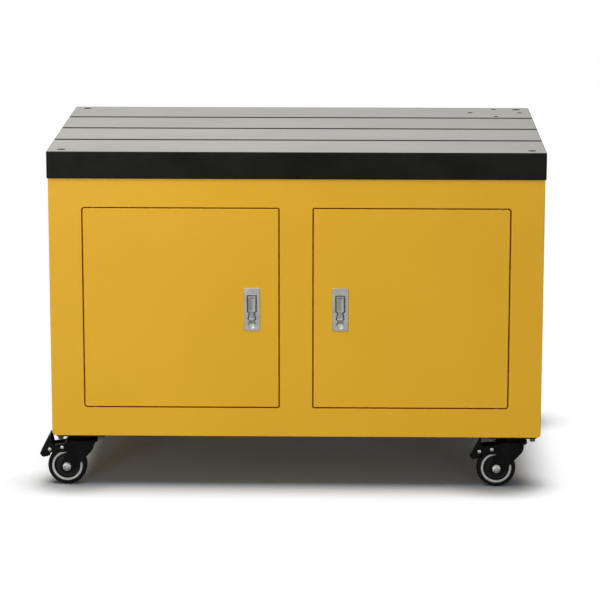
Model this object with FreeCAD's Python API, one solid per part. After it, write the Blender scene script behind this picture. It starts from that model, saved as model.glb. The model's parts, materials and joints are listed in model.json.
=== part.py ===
import FreeCAD, Part
import math
import os

# Mobile T-slot work table: a cast-iron T-slot plate on a sheet-steel cabinet with two inset
# doors, flush lever latches and four braked swivel casters.
# Millimetres, +Z up. The origin is on the floor under the middle, and the front faces -Y.

# Cast-iron T-slot plate
plate_length = 1200.0
plate_depth = 750.0
plate_height = 66.0
plate_wall = 22.0
plate_rim = 16.0
plate_corner_radius = 6.0
plate_top_radius = 3.5
plate_foot_radius = 2.0
slot_count = 3
slot_throat = 14.0
slot_depth = 26.0
tee_width = 23.0
tee_height = 9.0
slot_boss_width = 50.0
rib_thickness = 14.0
rib_bays = 10

# Cap screws that hold the plate to the cabinet
screw_inset_x = 34.0
screw_inset_y = 34.0
screw_radius = 6.0
screw_head_radius = 9.0
screw_head_height = 12.0
screw_socket_across = 10.0
screw_socket_depth = 6.0
screw_boss_radius = 25.0
counterbore_radius = 10.2
counterbore_depth = 13.0
screw_hole_radius = 6.8
screw_nut_across = 18.0
screw_nut_height = 10.8

# Four tapped holes on a circle, for a machine's round flange
flange_inset_x = 93.0
flange_inset_y = 92.0
flange_circle_radius = 65.0
flange_hole_count = 4
flange_hole_radius = 7.0
flange_pad_radius = 82.0
flange_pad_depth = 40.0

# Sheet-steel cabinet
cabinet_inset = 3.0
cabinet_height = 638.0
sheet = 2.0
deck = 3.0
return_depth = 15.0
foot_flange = 12.0
cabinet_foot_radius = 9.0
cabinet_edge_radius = 1.8
stile_width = 80.0
centre_stile = 80.0
top_rail = 70.0
bottom_rail = 72.0

# Welded tube frame inside
post_size = 50.0
post_wall = 3.0
post_radius = 5.0
post_setback = 4.0
tube_width = 25.0
tube_height = 50.0
tube_wall = 2.5

# Shelf
shelf_height = 312.0
shelf_lip = 25.0
shelf_setback = 54.0
shelf_side_gap = 1.0
shelf_rail_leg = 25.0
shelf_rail_end = 20.0

# Doors
door_gap = 2.5
door_depth = 22.0
door_hinge_corner = 5.0
door_latch_corner = 2.0
door_edge_radius = 1.4
smallest_bend = 0.4
stiffener_width = 64.0
stiffener_crown = 34.0
stiffener_depth = 17.0
stiffener_sheet = 1.5
stiffener_end_gap = 12.0

# Door hinge pins
hinge_inset = 25.0
hinge_setback = 8.0
hinge_pin_radius = 3.0
hinge_collar_radius = 7.0
hinge_head_radius = 5.5
hinge_head_height = 4.0
hinge_pin_reach = 4.0
running_clearance = 0.05
face_clearance = 0.2

# Door stops and rubber buffers
stop_width = 30.0
stop_from_edge = 30.0
stop_hang = 17.0
stop_setback = 3.7
buffer_radius = 6.0
buffer_gap = 0.3

# Flush lever latch
latch_from_edge = 67.0
latch_drop = 2.0
latch_plate_width = 39.2
latch_plate_height = 106.0
latch_plate_thick = 1.5
latch_plate_corner = 4.0
latch_case_width = 33.0
latch_case_height = 100.0
latch_case_depth = 30.0
recess_depth = 12.0
recess_below_top = 17.5
lever_gap = 2.6
lever_end_gap = 0.8
lever_width = 19.6
lever_straight = 40.0
lever_neck = 10.6
lever_shoulder = 3.5
lever_flare = 16.4
lever_flare_length = 14.5
lever_nose = 4.6
lever_corner = 1.0
lever_nose_corner = 4.0
lever_dish_width = 15.6
lever_dish_depth = 1.0
lever_thick = 6.0
lever_sink = 0.6
lever_lip = 1.8
lever_lip_height = 4.6
lever_barrel_radius = 5.0
lever_barrel_gap = 0.5
lever_pin_radius = 2.0
lever_pin_seat = 4.0
scoop_width = 20.0
scoop_depth = 4.0
scoop_overlap = 1.5

# Spring tongue of the latch
tongue_height = 18.0
tongue_thick = 6.0
tongue_tail = 8.0
tongue_bevel = 5.0
tongue_nose = 1.0
tongue_gap = 0.3
tongue_stile_gap = 0.5
tongue_pull_in = 0.5
tongue_pocket = 11.0

# Casters
caster_height = 136.0
caster_inset_x = 68.0
caster_inset_y = 58.0
caster_plate_x = 120.0
caster_plate_y = 84.0
caster_plate_thick = 7.0
caster_plate_corner = 8.0
caster_bolt_x = 50.0
caster_bolt_y = 32.0
caster_bolt_radius = 4.0
caster_bolt_across = 13.0
caster_bolt_head = 8.0
caster_nut_height = 6.5
race_top_radius = 37.0
race_foot_radius = 31.0
race_height = 9.5
crown_radius = 39.0
crown_shoulder = 4.0
crown_height = 10.7
kingpin_radius = 6.0
kingpin_head_radius = 10.0
kingpin_head_height = 5.0
kingpin_top_gap = 0.5
trail = 37.0
tyre_head_gap = 6.1
tyre_width = 32.0
tyre_depth = 10.5
tyre_shoulder = 6.0
rim_thick = 7.0
rim_step = 0.8
web_thick = 9.0
hub_radius = 12.0
hub_length = 40.0
leg_gap = 0.3
leg_thick = 3.5
leg_end_radius = 17.5
leg_head_radius = 27.0
leg_head_x = 40.0
leg_head_drop = 4.6
fork_web_thick = 6.5
fork_web_back = 4.0
ear_radius = 9.0
ear_root_radius = 12.0
ear_root_x = 7.0
axle_radius = 5.0
axle_washer_radius = 11.0
axle_washer_thick = 1.5
axle_nut_across = 18.0
axle_nut_height = 7.0

# Brake pedal: its pivot from the tyre, and its outline and the rivet from the pivot
pedal_pivot_gap = 12.8
pedal_pivot_angle = 133.7
rivet_x = 30.5
rivet_z = 4.5
rivet_radius = 4.6
rivet_head = 1.6
pedal_pin_radius = 3.0
pedal_cheek_gap = 0.3
pedal_cheek_thick = 2.5
pedal_plate_thick = 3.0
pedal_top = (-1.2, 34.8)
pedal_top_back = (2.8, 33.8)
pedal_back = (9.0, 4.0)
pedal_heel = (-4.5, -17.5)
pedal_toe_under = (-17.0, -19.5)
pedal_toe = (-24.5, -11.0)
pedal_corner = 3.0
pedal_top_corner = 1.0
shoe_radius = 3.0
shoe_gap = 2.6
shoe_angle = 146.0

# How near to a face an edge counts as lying on it
touch = 0.1

# Worked out from the sizes above
plate_foot = caster_height + cabinet_height
plate_top = plate_foot + plate_height
cabinet_width = plate_length - 2 * cabinet_inset
cabinet_depth = plate_depth - 2 * cabinet_inset
half_width = cabinet_width / 2
half_depth = cabinet_depth / 2
front = -half_depth
opening_outer = half_width - stile_width
opening_inner = centre_stile / 2
opening_foot = caster_height + bottom_rail
opening_top = plate_foot - top_rail
return_back = front + return_depth
door_back = front + door_depth
deck_top = caster_height + deck
latch_x = -opening_inner - latch_from_edge
latch_z = (opening_foot + opening_top) / 2 - latch_drop
latch_face = front - latch_plate_thick
lever_pin_y = latch_face + lever_sink + lever_barrel_radius
lever_pin_z = latch_z + latch_plate_height / 2 - recess_below_top - lever_barrel_radius - lever_barrel_gap
tongue_front = return_back + tongue_stile_gap
caster_under = caster_height - caster_plate_thick
race_foot = caster_under - race_height
crown_top = race_foot - face_clearance
crown_foot = crown_top - crown_height
fork_foot = crown_foot - fork_web_thick
wheel_radius = (fork_foot - tyre_head_gap) / 2
hub_z = wheel_radius
leg_inner = hub_length / 2 + leg_gap
leg_outer = leg_inner + leg_thick
pivot_reach = wheel_radius + pedal_pivot_gap
pivot_x = pivot_reach * math.cos(math.radians(pedal_pivot_angle)) - trail
pivot_z = pivot_reach * math.sin(math.radians(pedal_pivot_angle)) + hub_z

X = FreeCAD.Vector(1, 0, 0)
Y = FreeCAD.Vector(0, 1, 0)
Z = FreeCAD.Vector(0, 0, 1)
ORIGIN = FreeCAD.Vector(0, 0, 0)


def box(x, y, z):
    """A block between the two ends given for each axis."""
    return Part.makeBox(x[1] - x[0], y[1] - y[0], z[1] - z[0], FreeCAD.Vector(x[0], y[0], z[0]))


def rod(radius, start, axis, length):
    """A round bar from a point along an axis."""
    return Part.makeCylinder(radius, length, FreeCAD.Vector(*start), axis)


def joined(solids):
    """One solid from pieces that meet, with the seams between flush faces removed."""
    whole = solids[0].fuse(solids[1:])
    return whole.removeSplitter()


def rounded_outline(points, radii):
    """A closed wire through the points, with an arc of its own radius at each corner."""
    turns = []
    for i, corner in enumerate(points):
        before = (points[i - 1] - corner).normalize()
        after = (points[(i + 1) % len(points)] - corner).normalize()
        half = before.getAngle(after) / 2
        reach = radii[i] / math.tan(half)
        rise = radii[i] / math.sin(half) - radii[i]
        middle = (before + after).normalize()
        turns.append((corner + before * reach, corner + middle * rise, corner + after * reach))
    edges = []
    for i, turn in enumerate(turns):
        if radii[i] > 0:
            edges.append(Part.Arc(*turn).toShape())
        edges.append(Part.LineSegment(turn[2], turns[(i + 1) % len(turns)][0]).toShape())
    return Part.Wire(edges)


def front_prism(points, radii, y):
    """An outline drawn on the front, as (x, z) points, carried back between two depths."""
    corners = [FreeCAD.Vector(px, y[0], pz) for px, pz in points]
    return Part.Face(rounded_outline(corners, radii)).extrude(Y * (y[1] - y[0]))


def rectangle(x, z):
    """The four corners of an upright rectangle, from the lower left round to the upper left."""
    return [(x[0], z[0]), (x[1], z[0]), (x[1], z[1]), (x[0], z[1])]


def flat_plate(size_x, size_y, corner, z):
    """A level plate about the Z axis with rounded corners."""
    hx = size_x / 2
    hy = size_y / 2
    corners = [(-hx, -hy), (hx, -hy), (hx, hy), (-hx, hy)]
    points = [FreeCAD.Vector(px, py, z[0]) for px, py in corners]
    return Part.Face(rounded_outline(points, [corner] * 4)).extrude(Z * (z[1] - z[0]))


def hexagon(across, start, axis, length):
    """A hexagonal bar with its width across flats, from a point along an axis."""
    side = axis.cross(Z if abs(axis.z) < 0.5 else X)
    turn = axis.cross(side)
    reach = across / math.sqrt(3)
    place = FreeCAD.Vector(*start)
    corners = []
    for i in range(6):
        angle = math.radians(60 * i)
        corners.append(place + side * (reach * math.cos(angle)) + turn * (reach * math.sin(angle)))
    return Part.Face(Part.makePolygon(corners + corners[:1])).extrude(axis * length)


def belt(centre_a, radius_a, centre_b, radius_b, y):
    """Two round ends, as (x, z) centres, joined by their outer tangents, between two depths."""
    a = FreeCAD.Vector(centre_a[0], y[0], centre_a[1])
    b = FreeCAD.Vector(centre_b[0], y[0], centre_b[1])
    along = (b - a).normalize()
    across = Y.cross(along)
    lean = math.acos((radius_a - radius_b) / (b - a).Length)
    up = along * math.cos(lean) + across * math.sin(lean)
    down = along * math.cos(lean) - across * math.sin(lean)
    edges = [
        Part.Arc(a + up * radius_a, a - along * radius_a, a + down * radius_a).toShape(),
        Part.LineSegment(a + down * radius_a, b + down * radius_b).toShape(),
        Part.Arc(b + down * radius_b, b + along * radius_b, b + up * radius_b).toShape(),
        Part.LineSegment(b + up * radius_b, a + up * radius_a).toShape(),
    ]
    return Part.Face(Part.Wire(edges)).extrude(Y * (y[1] - y[0]))


def turned(profile):
    """A body of revolution about Z from (radius, height) points."""
    points = [FreeCAD.Vector(r, 0, h) for r, h in profile]
    return Part.Face(Part.makePolygon(points + points[:1])).revolve(ORIGIN, Z, 360)


def mirrored(shape):
    """The same piece on the other side of the table."""
    return shape.mirror(ORIGIN, X)


def screw_places():
    """The middles of the four plate screws."""
    px = plate_length / 2 - screw_inset_x
    py = plate_depth / 2 - screw_inset_y
    return [(sx * px, sy * py) for sx in (-1, 1) for sy in (-1, 1)]


def slot_lines():
    """The T-slots' middle lines, which share the depth into equal lands."""
    pitch = plate_depth / (slot_count + 1)
    return [pitch * (i + 1) - plate_depth / 2 for i in range(slot_count)]


def underside_pockets():
    """The hollows that the casting's rim, slot bosses and cross ribs leave open below."""
    z = (plate_foot, plate_top - plate_wall)
    edge = plate_depth / 2 - plate_rim
    walls = [-edge]
    for line in slot_lines():
        walls += [line - slot_boss_width / 2, line + slot_boss_width / 2]
    walls.append(edge)
    left = plate_rim - plate_length / 2
    bay = (plate_length - 2 * plate_rim + rib_thickness) / rib_bays
    pockets = []
    for i in range(rib_bays):
        x = (left + i * bay, left + (i + 1) * bay - rib_thickness)
        for y0, y1 in zip(walls[::2], walls[1::2]):
            pockets.append(box(x, (y0, y1), z))
    return Part.makeCompound(pockets)


def t_slot_plate():
    """The cast-iron plate: machined top, T-slots, bosses, holes and a ribbed underside."""
    hx = plate_length / 2
    hy = plate_depth / 2
    body = box((-hx, hx), (-hy, hy), (plate_foot, plate_top))
    upright = [e for e in body.Edges if e.BoundBox.ZLength > plate_height - touch]
    body = body.makeFillet(plate_corner_radius, upright)
    top = [e for e in body.Edges if e.BoundBox.ZMin > plate_top - touch]
    body = body.makeFillet(plate_top_radius, top)
    foot = [e for e in body.Edges if e.BoundBox.ZMax < plate_foot + touch]
    body = body.makeFillet(plate_foot_radius, foot)
    body = body.cut(underside_pockets())
    bosses = [body]
    for px, py in screw_places():
        bosses.append(rod(screw_boss_radius, (px, py, plate_foot), Z, plate_height - plate_wall))
    flange_x = hx - flange_inset_x
    flange_y = hy - flange_inset_y
    pad_foot = plate_top - flange_pad_depth
    pad_height = flange_pad_depth - plate_wall
    bosses.append(rod(flange_pad_radius, (flange_x, flange_y, pad_foot), Z, pad_height))
    body = joined(bosses)
    cuts = []
    for line in slot_lines():
        throat = (line - slot_throat / 2, line + slot_throat / 2)
        tee = (line - tee_width / 2, line + tee_width / 2)
        slot_floor = plate_top - slot_depth
        cuts.append(box((-hx, hx), throat, (slot_floor, plate_top)))
        cuts.append(box((-hx, hx), tee, (slot_floor, slot_floor + tee_height)))
    seat = plate_top - counterbore_depth
    for px, py in screw_places():
        cuts.append(rod(screw_hole_radius, (px, py, plate_foot), Z, plate_height))
        cuts.append(rod(counterbore_radius, (px, py, seat), Z, counterbore_depth))
    for i in range(flange_hole_count):
        angle = 2 * math.pi * i / flange_hole_count
        px = flange_x + flange_circle_radius * math.cos(angle)
        py = flange_y + flange_circle_radius * math.sin(angle)
        cuts.append(rod(flange_hole_radius, (px, py, plate_foot), Z, plate_height))
    return body.cut(cuts)


def plate_screws():
    """Four socket cap screws with their nuts under the cabinet's top deck."""
    seat = plate_top - counterbore_depth
    nut_top = plate_foot - deck
    tail = nut_top - screw_nut_height
    pieces = []
    for px, py in screw_places():
        head = rod(screw_head_radius, (px, py, seat), Z, screw_head_height)
        shank = rod(screw_radius, (px, py, tail), Z, seat - tail)
        socket_foot = seat + screw_head_height - screw_socket_depth
        socket = hexagon(screw_socket_across, (px, py, socket_foot), Z, screw_socket_depth)
        pieces.append(joined([head, shank]).cut(socket))
        nut = hexagon(screw_nut_across, (px, py, tail), Z, screw_nut_height)
        pieces.append(nut.cut(rod(screw_radius, (px, py, tail), Z, screw_nut_height)))
    return Part.makeCompound(pieces)


def opening_points(grow):
    """The left door opening's outline, made larger all round by a distance."""
    x = (-opening_outer - grow, -opening_inner + grow)
    z = (opening_foot - grow, opening_top + grow)
    return rectangle(x, z)


def opening_radii(grow):
    """Corner radii of that outline: rounder on the hinge side than on the latch side."""
    hinge = door_hinge_corner + door_gap + grow
    latch = door_latch_corner + door_gap + grow
    return [hinge, latch, latch, hinge]


def on_front(body, y):
    """A body's edges that lie on its foremost plane."""
    return [e for e in body.Edges if e.BoundBox.YMax < y + touch]


def shell_end(with_openings):
    """The folded front or back sheet: a face, its side and bottom returns and rounded feet."""
    outer = rectangle((-half_width, half_width), (caster_height, plate_foot))
    inner_x = (sheet - half_width, half_width - sheet)
    inner = rectangle(inner_x, (caster_height + sheet, plate_foot + sheet))
    feet = [cabinet_foot_radius, cabinet_foot_radius, 0, 0]
    inner_feet = [cabinet_foot_radius - sheet, cabinet_foot_radius - sheet, 0, 0]
    body = front_prism(outer, feet, (front, return_back))
    rim = [e for e in on_front(body, front) if e.BoundBox.ZMin < plate_foot - touch]
    body = body.makeFillet(cabinet_edge_radius, rim)
    body = body.cut(front_prism(inner, inner_feet, (front + sheet, return_back)))
    if not with_openings:
        return body
    ring = front_prism(opening_points(sheet), opening_radii(sheet), (front + sheet, return_back))
    hole = front_prism(opening_points(0), opening_radii(0), (front, return_back))
    body = joined([body, ring, mirrored(ring)]).cut([hole, mirrored(hole)])
    lips = [e for e in on_front(body, front) if on_opening(e)]
    return body.makeFillet(door_edge_radius, lips)


def on_opening(edge):
    """Whether a front edge belongs to a door opening and not to the cabinet's outline."""
    lies = edge.BoundBox
    reach = max(abs(lies.XMin), abs(lies.XMax))
    inside = reach < opening_outer + touch
    return inside and lies.ZMin > opening_foot - touch and lies.ZMax < opening_top + touch


def front_frame():
    """The cabinet's front: three stiles and two rails folded from one sheet."""
    body = shell_end(True)
    holes = []
    for px in (-hinge_x(), hinge_x()):
        for z in (opening_foot - sheet, opening_top):
            holes.append(rod(hinge_pin_radius, (px, front + hinge_setback, z), Z, sheet))
    return body.cut(holes)


def back_panel():
    """The cabinet's plain back, folded like the front."""
    return shell_end(False).rotate(ORIGIN, Z, 180)


def side_panel():
    """The left side: one sheet with its foot rolled under."""
    x = -half_width
    z = caster_height
    points = [(x, z), (x + foot_flange, z), (x + foot_flange, z + sheet), (x + sheet, z + sheet)]
    points += [(x + sheet, plate_foot), (x, plate_foot)]
    radii = [cabinet_foot_radius, 0, 0, cabinet_foot_radius - sheet, 0, 0]
    return front_prism(points, radii, (return_back, -return_back))


def caster_middles():
    """Each caster's name, kingpin place and heading."""
    px = half_width - caster_inset_x
    py = half_depth - caster_inset_y
    return [
        ("front_left", -px, -py, 0),
        ("front_right", px, -py, 0),
        ("rear_left", -px, py, 180),
        ("rear_right", px, py, 180),
    ]


def caster_bolt_places():
    """The middles of all caster bolts."""
    places = []
    for _, px, py, _ in caster_middles():
        for sx in (-1, 1):
            for sy in (-1, 1):
                places.append((px + sx * caster_bolt_x, py + sy * caster_bolt_y))
    return places


def bottom_panel():
    """The floor deck that the casters bolt to."""
    hx = half_width - foot_flange
    body = box((-hx, hx), (return_back, -return_back), (caster_height, deck_top))
    holes = [rod(caster_bolt_radius, (px, py, caster_height), Z, deck) for px, py in caster_bolt_places()]
    return body.cut(holes)


def top_panel():
    """The deck under the plate, let in between the cabinet's walls."""
    hx = half_width - sheet
    hy = half_depth - sheet
    z = (plate_foot - deck, plate_foot)
    holes = [rod(screw_hole_radius, (px, py, z[0]), Z, deck) for px, py in screw_places()]
    return box((-hx, hx), (-hy, hy), z).cut(holes)


def corner_posts():
    """Four square tubes that carry the plate down to the casters."""
    z = (deck_top, plate_foot - deck)
    reach_x = half_width - sheet - post_setback - post_size / 2
    reach_y = half_depth - sheet - post_size / 2
    inner = post_size - 2 * post_wall
    tube = flat_plate(post_size, post_size, post_radius, z).cut(flat_plate(inner, inner, post_wall, z))
    places = [(sx * reach_x, sy * reach_y) for sx in (-1, 1) for sy in (-1, 1)]
    return Part.makeCompound([tube.translated(FreeCAD.Vector(px, py, 0)) for px, py in places])


def top_rails():
    """Rectangular tubes under the top deck: front, back, both ends and across the middle."""
    z = (plate_foot - deck - tube_height, plate_foot - deck)
    wall = tube_wall
    bore = (z[0] + wall, z[1] - wall)
    post_x = half_width - sheet - post_setback - post_size
    post_y = half_depth - sheet - post_size
    wall_y = half_depth - sheet
    wall_x = half_width - sheet
    pieces = []
    for y in ((-wall_y, tube_width - wall_y), (wall_y - tube_width, wall_y)):
        inside = box((-post_x, post_x), (y[0] + wall, y[1] - wall), bore)
        pieces.append(box((-post_x, post_x), y, z).cut(inside))
    for x in ((-wall_x, tube_width - wall_x), (wall_x - tube_width, wall_x)):
        inside = box((x[0] + wall, x[1] - wall), (-post_y, post_y), bore)
        pieces.append(box(x, (-post_y, post_y), z).cut(inside))
    span = (tube_width - wall_y, wall_y - tube_width)
    x = (-tube_width / 2, tube_width / 2)
    pieces.append(box(x, span, z).cut(box((x[0] + wall, x[1] - wall), span, bore)))
    return Part.makeCompound(pieces)


def shelf():
    """The loose shelf: a sheet with its front and back edges turned down."""
    hx = half_width - sheet - shelf_side_gap
    hy = half_depth - shelf_setback
    top = caster_height + shelf_height
    whole = box((-hx, hx), (-hy, hy), (top - shelf_lip, top))
    return whole.cut(box((-hx, hx), (sheet - hy, hy - sheet), (top - shelf_lip, top - sheet)))


def shelf_rails():
    """Two angles on the side walls, which the shelf lies on."""
    top = caster_height + shelf_height - sheet
    hy = half_depth - shelf_setback - shelf_rail_end
    x = (sheet - half_width, sheet - half_width + shelf_rail_leg)
    angle = box(x, (-hy, hy), (top - shelf_rail_leg, top))
    angle = angle.cut(box((x[0] + sheet, x[1]), (-hy, hy), (top - shelf_rail_leg, top - sheet)))
    return Part.makeCompound([angle, mirrored(angle)])


def hinge_x():
    """How far a hinge axis lies from the table's middle."""
    return opening_outer - door_gap - hinge_inset


def hinge_pins():
    """Four collared pins in the frame's rails, which the doors turn on."""
    pieces = []
    reach = door_gap + sheet + hinge_pin_reach
    collar = door_gap - face_clearance
    for px in (-hinge_x(), hinge_x()):
        for z, way in ((opening_foot, Z), (opening_top, -Z)):
            foot = FreeCAD.Vector(px, front + hinge_setback, z)
            head = foot - way * (sheet + hinge_head_height)
            shank = rod(hinge_pin_radius, head, way, hinge_head_height + sheet + reach)
            knob = rod(hinge_head_radius, head, way, hinge_head_height)
            pieces.append(joined([shank, knob, rod(hinge_collar_radius, foot, way, collar)]))
    return Part.makeCompound(pieces)


def stop_pieces():
    """Each door stop's left end, the height that it is welded at and the way that it reaches."""
    x = -opening_inner - stop_from_edge - stop_width
    places = []
    for z, way in ((opening_foot, 1), (opening_top, -1)):
        places.append((x, z, way))
    return places


def between(a, b):
    """Two ends in rising order."""
    return (min(a, b), max(a, b))


def door_stops():
    """Four small angles behind the rails, which the closed doors meet through their buffers."""
    pieces = []
    back = door_back + stop_setback + sheet
    for x, z, way in stop_pieces():
        weld = z - way * sheet
        foot = box((x, x + stop_width), (front + sheet, back), between(weld, weld - way * sheet))
        tab = box((x, x + stop_width), (back - sheet, back), between(weld, z + way * stop_hang))
        angle = joined([foot, tab])
        pieces += [angle, mirrored(angle)]
    return Part.makeCompound(pieces)


def door_buffers():
    """Rubber discs on the stops."""
    pieces = []
    for x, z, way in stop_pieces():
        place = (x + stop_width / 2, door_back + buffer_gap, z + way * (stop_hang - buffer_radius))
        disc = rod(buffer_radius, place, Y, stop_setback - buffer_gap)
        pieces += [disc, mirrored(disc)]
    return Part.makeCompound(pieces)


def latch_case(clearance, y):
    """The latch case's outline, grown by a clearance, between two depths."""
    hx = latch_case_width / 2 + clearance
    hz = latch_case_height / 2 + clearance
    return box((latch_x - hx, latch_x + hx), y, (latch_z - hz, latch_z + hz))


def tongue_slide(clearance, x):
    """The tongue's square bar, grown by a clearance, between two places across the door."""
    hz = tongue_height / 2 + clearance
    y = (tongue_front - clearance, tongue_front + tongue_thick + clearance)
    return box(x, y, (latch_z - hz, latch_z + hz))


def door_skin():
    """The left door: a tray folded from one sheet, open to the back."""
    radii = [r - door_gap for r in opening_radii(0)]
    inner_radii = [max(r - sheet, smallest_bend) for r in radii]
    body = front_prism(opening_points(-door_gap), radii, (front, door_back))
    body = body.makeFillet(door_edge_radius, on_front(body, front))
    hollow = front_prism(opening_points(-door_gap - sheet), inner_radii, (front + sheet, door_back))
    edge = -opening_inner - door_gap
    cuts = [
        hollow,
        latch_case(0, (front, front + sheet)),
        tongue_slide(tongue_gap, (edge - sheet, edge)),
    ]
    bore = hinge_pin_radius + running_clearance
    for z in (opening_foot + door_gap, opening_top - door_gap - sheet):
        cuts.append(rod(bore, (-hinge_x(), front + hinge_setback, z), Z, sheet))
    return body.cut(cuts)


def door_stiffener():
    """A hat section welded down the back of the left door's sheet."""
    x = -(opening_outer + opening_inner) / 2
    y = front + sheet
    t = stiffener_sheet
    brim = stiffener_width / 2
    crown = stiffener_crown / 2
    deep = stiffener_depth
    inner = crown - t
    roof = deep - t
    hat = [(brim, 0), (brim, t), (crown, t), (crown, deep), (-crown, deep), (-crown, t)]
    hat += [(-brim, t), (-brim, 0), (-inner, 0), (-inner, roof), (inner, roof), (inner, 0)]
    gap = door_gap + sheet + stiffener_end_gap
    foot = opening_foot + gap
    points = [FreeCAD.Vector(x + px, y + py, foot) for px, py in hat]
    length = opening_top - gap - foot
    return Part.Face(Part.makePolygon(points + points[:1])).extrude(Z * length)


def lever_outline(grow, end_grow):
    """The lever seen from the front, grown by a side gap and an end gap, for lever or recess."""
    wide = lever_width / 2 + grow
    neck = lever_neck / 2 + grow
    flare = lever_flare / 2 + grow
    straight = lever_pin_z - lever_straight + lever_barrel_radius
    shoulder = straight - lever_shoulder
    tip = shoulder - lever_flare_length - end_grow
    nose = tip - lever_nose
    right = [(wide, straight), (neck, shoulder), (flare, tip), (flare / 2, nose)]
    left = [(-px, pz) for px, pz in reversed(right)]
    return [(latch_x + px, pz) for px, pz in right + left]


def lever_shape(grow, end_grow, top, y):
    """The lever's or recess's body between two depths, up to a height at its hinged end."""
    wide = lever_width / 2 + grow
    points = [(latch_x + wide, top)] + lever_outline(grow, end_grow) + [(latch_x - wide, top)]
    half = [0.0] + [lever_corner] * 3 + [lever_nose_corner]
    return front_prism(points, half + half[::-1], y)


def lever_foot():
    """How low the lever's nose reaches."""
    return min(pz for _, pz in lever_outline(0, 0))


def bowl_radius(width, depth):
    """The radius of a round hollow that has this width at its mouth and this depth."""
    return (width ** 2 / 4 + depth ** 2) / (2 * depth)


def latch_housing():
    """The die-cast latch body: face plate, case, lever recess and a round scoop for the finger."""
    hx = latch_plate_width / 2
    hz = latch_plate_height / 2
    face = rectangle((latch_x - hx, latch_x + hx), (latch_z - hz, latch_z + hz))
    body = joined([
        front_prism(face, [latch_plate_corner] * 4, (latch_face, front)),
        latch_case(0, (front, front + latch_case_depth)),
    ])
    body = body.makeChamfer(latch_plate_thick / 2, on_front(body, latch_face))
    recess_top = lever_pin_z + lever_barrel_radius + lever_barrel_gap
    recess = (latch_face, latch_face + recess_depth)
    side = latch_x + latch_case_width / 2
    bore_half = lever_width / 2 + lever_gap + lever_pin_seat
    bowl = bowl_radius(scoop_width, scoop_depth)
    scoop_z = lever_foot() - lever_end_gap + scoop_overlap - scoop_width / 2
    cuts = [
        Part.makeSphere(bowl, FreeCAD.Vector(latch_x, latch_face + scoop_depth - bowl, scoop_z)),
        lever_shape(lever_gap, lever_end_gap, recess_top, recess),
        tongue_slide(tongue_gap, (latch_x - tongue_pocket, side)),
        rod(lever_pin_radius, (latch_x - bore_half, lever_pin_y, lever_pin_z), X, 2 * bore_half),
    ]
    return body.cut(cuts)


def latch_lever():
    """The pull lever: a barrel on its pin, a broad dished arm, a waist and a raised finger lip."""
    face = latch_face + lever_sink
    arm = lever_shape(0, 0, lever_pin_z, (face, face + lever_thick))
    start = (latch_x - lever_width / 2, lever_pin_y, lever_pin_z)
    barrel = rod(lever_barrel_radius, start, X, lever_width)
    foot = lever_foot()
    lip_x = (latch_x - lever_width, latch_x + lever_width)
    lip_zone = box(lip_x, (face - lever_lip, face), (foot, foot + lever_lip_height))
    lip = lever_shape(0, 0, lever_pin_z, (face - lever_lip, face)).common(lip_zone)
    bowl = bowl_radius(lever_dish_width, lever_dish_depth)
    dish_foot = lever_pin_z - lever_straight + lever_barrel_radius
    dish_length = lever_straight
    dish = rod(bowl, (latch_x, face + lever_dish_depth - bowl, dish_foot), Z, dish_length)
    bore = rod(lever_pin_radius + running_clearance, start, X, lever_width)
    return joined([arm, barrel, lip]).cut([dish, bore])


def lever_pin():
    """The lever's cross pin, held in the case at both ends."""
    half = lever_width / 2 + lever_gap + lever_pin_seat
    return rod(lever_pin_radius, (latch_x - half, lever_pin_y, lever_pin_z), X, 2 * half)


def latch_tongue():
    """The spring tongue, drawn back inside the door, with the bevel that a slammed door rides on."""
    tip = -opening_inner - door_gap - tongue_pull_in
    bar = tongue_slide(0, (latch_x - tongue_tail, tip))
    back = tongue_front + tongue_thick
    hz = tongue_height / 2
    corners = [(tip, back), (tip - tongue_bevel, back), (tip, tongue_front + tongue_nose)]
    points = [FreeCAD.Vector(px, py, latch_z - hz) for px, py in corners]
    wedge = Part.Face(Part.makePolygon(points + points[:1])).extrude(Z * tongue_height)
    return bar.cut(wedge)


def caster_plate():
    """The caster's top plate with the upper race pressed down from it."""
    z = (caster_under, caster_height)
    plate = flat_plate(caster_plate_x, caster_plate_y, caster_plate_corner, z)
    race = turned([
        (0, race_foot), (race_foot_radius, race_foot), (race_top_radius, caster_under),
        (0, caster_under),
    ])
    holes = [rod(kingpin_radius, (0, 0, race_foot), Z, caster_height - race_foot)]
    for px in (-caster_bolt_x, caster_bolt_x):
        for py in (-caster_bolt_y, caster_bolt_y):
            holes.append(rod(caster_bolt_radius, (px, py, caster_under), Z, caster_plate_thick))
    return joined([plate, race]).cut(holes)


def kingpin():
    """The headed pin that the fork swivels on."""
    foot = fork_foot - face_clearance - kingpin_head_height
    head = rod(kingpin_head_radius, (0, 0, foot), Z, kingpin_head_height)
    shank = rod(kingpin_radius, (0, 0, foot), Z, caster_height - kingpin_top_gap - foot)
    return joined([head, shank])


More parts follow.
